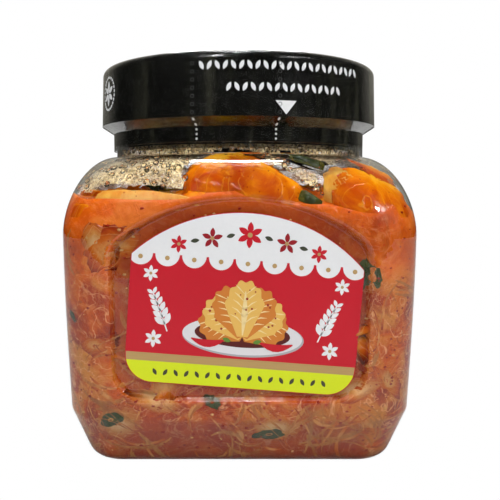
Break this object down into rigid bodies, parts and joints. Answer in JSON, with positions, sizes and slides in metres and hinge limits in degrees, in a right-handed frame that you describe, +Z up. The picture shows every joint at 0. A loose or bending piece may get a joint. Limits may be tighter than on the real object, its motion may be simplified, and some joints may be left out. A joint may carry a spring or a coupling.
{
  "type": "kimchi jar",
  "caption": "Clear square jar with a round neck, full of kimchi, with a black cap under a clear shrink band and a label in a sunk panel on the front and the back.",
  "frame": {"origin": "middle of the underside of the base", "axes": "+Z up along the neck's axis, -Y out of the front label, +X to the right as seen from in front"},
  "size_m": [0.1252, 0.1252, 0.1433],
  "materials": {
    "jar": "gloss",
    "cap": "gloss",
    "shrink_band": "gloss",
    "label": "satin",
    "label_plain": "satin",
    "kimchi": "gloss"
  },
  "bodies": {
    "root": {"jar": "jar", "cap": "cap", "shrink_band": "shrink_band", "label_front": "label", "label_back": "label_plain", "kimchi": "kimchi"}
  },
  "joints": []
}
